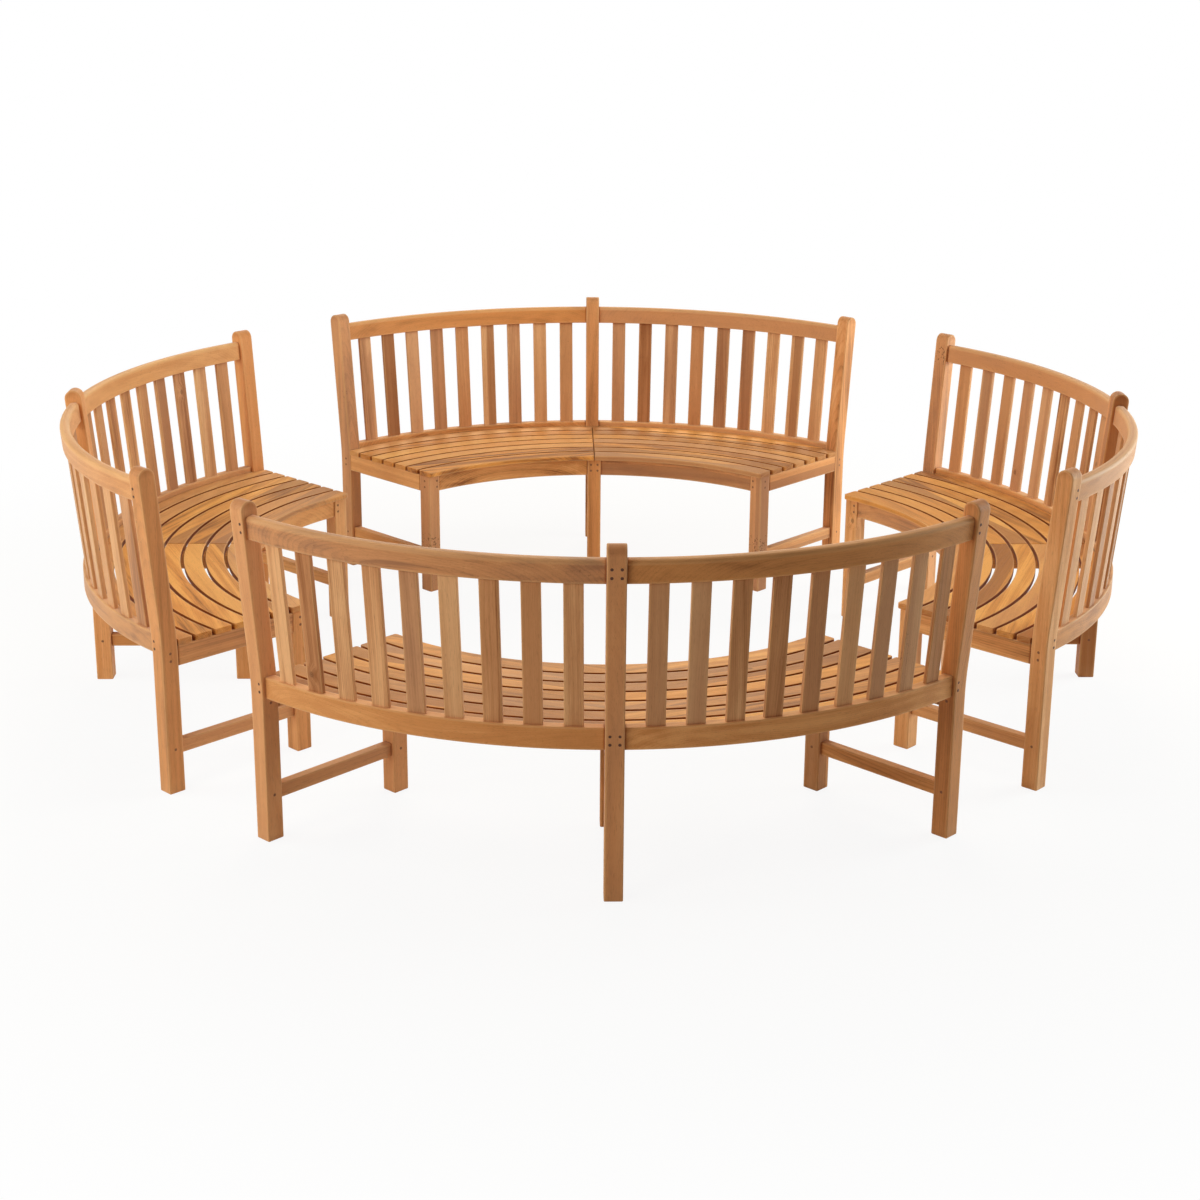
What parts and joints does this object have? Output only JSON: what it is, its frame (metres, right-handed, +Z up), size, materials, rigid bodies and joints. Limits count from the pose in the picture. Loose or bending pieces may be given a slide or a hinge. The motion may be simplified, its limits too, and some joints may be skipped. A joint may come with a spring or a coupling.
{
  "type": "round garden bench",
  "caption": "Ring of curved slatted teak garden benches with raked slatted backs, facing inward around an open centre, with walkways between them.",
  "frame": {"origin": "centre of the ring of benches, on the floor", "axes": "+Z up; the benches are centred on -Y (bench_1), +X (bench_2), +Y (bench_3) and -X (bench_4), and the walkways lie on the diagonals"},
  "size_m": [3.2464, 3.2464, 0.9279],
  "materials": {
    "leg_teak": "oiled, satin",
    "rail_teak": "oiled, satin",
    "back_teak": "oiled, satin",
    "seat_teak": "oiled, satin"
  },
  "bodies": {
    "root": {"bench_1_back_leg_left": "leg_teak", "bench_1_back_leg_middle": "leg_teak", "bench_1_back_leg_right": "leg_teak", "bench_1_front_leg_left": "leg_teak", "bench_1_front_leg_and_stretcher_middle": "leg_teak", "bench_1_front_leg_right": "leg_teak", "bench_1_stretcher_left": "rail_teak", "bench_1_apron_left": "rail_teak", "bench_1_top_rail_left": "rail_teak", "bench_1_slatted_back_left": "back_teak", "bench_1_stretcher_right": "rail_teak", "bench_1_apron_right": "rail_teak", "bench_1_top_rail_right": "rail_teak", "bench_1_slatted_back_right": "back_teak", "bench_1_seat_deck": "seat_teak", "bench_2_back_leg_left": "leg_teak", "bench_2_back_leg_middle": "leg_teak", "bench_2_back_leg_right": "leg_teak", "bench_2_front_leg_left": "leg_teak", "bench_2_front_leg_and_stretcher_middle": "leg_teak", "bench_2_front_leg_right": "leg_teak", "bench_2_stretcher_left": "rail_teak", "bench_2_apron_left": "rail_teak", "bench_2_top_rail_left": "rail_teak", "bench_2_slatted_back_left": "back_teak", "bench_2_stretcher_right": "rail_teak", "bench_2_apron_right": "rail_teak", "bench_2_top_rail_right": "rail_teak", "bench_2_slatted_back_right": "back_teak", "bench_2_seat_deck": "seat_teak", "bench_3_back_leg_left": "leg_teak", "bench_3_back_leg_middle": "leg_teak", "bench_3_back_leg_right": "leg_teak", "bench_3_front_leg_left": "leg_teak", "bench_3_front_leg_and_stretcher_middle": "leg_teak", "bench_3_front_leg_right": "leg_teak", "bench_3_stretcher_left": "rail_teak", "bench_3_apron_left": "rail_teak", "bench_3_top_rail_left": "rail_teak", "bench_3_slatted_back_left": "back_teak", "bench_3_stretcher_right": "rail_teak", "bench_3_apron_right": "rail_teak", "bench_3_top_rail_right": "rail_teak", "bench_3_slatted_back_right": "back_teak", "bench_3_seat_deck": "seat_teak", "bench_4_back_leg_left": "leg_teak", "bench_4_back_leg_middle": "leg_teak", "bench_4_back_leg_right": "leg_teak", "bench_4_front_leg_left": "leg_teak", "bench_4_front_leg_and_stretcher_middle": "leg_teak", "bench_4_front_leg_right": "leg_teak", "bench_4_stretcher_left": "rail_teak", "bench_4_apron_left": "rail_teak", "bench_4_top_rail_left": "rail_teak", "bench_4_slatted_back_left": "back_teak", "bench_4_stretcher_right": "rail_teak", "bench_4_apron_right": "rail_teak", "bench_4_top_rail_right": "rail_teak", "bench_4_slatted_back_right": "back_teak", "bench_4_seat_deck": "seat_teak"}
  },
  "joints": []
}
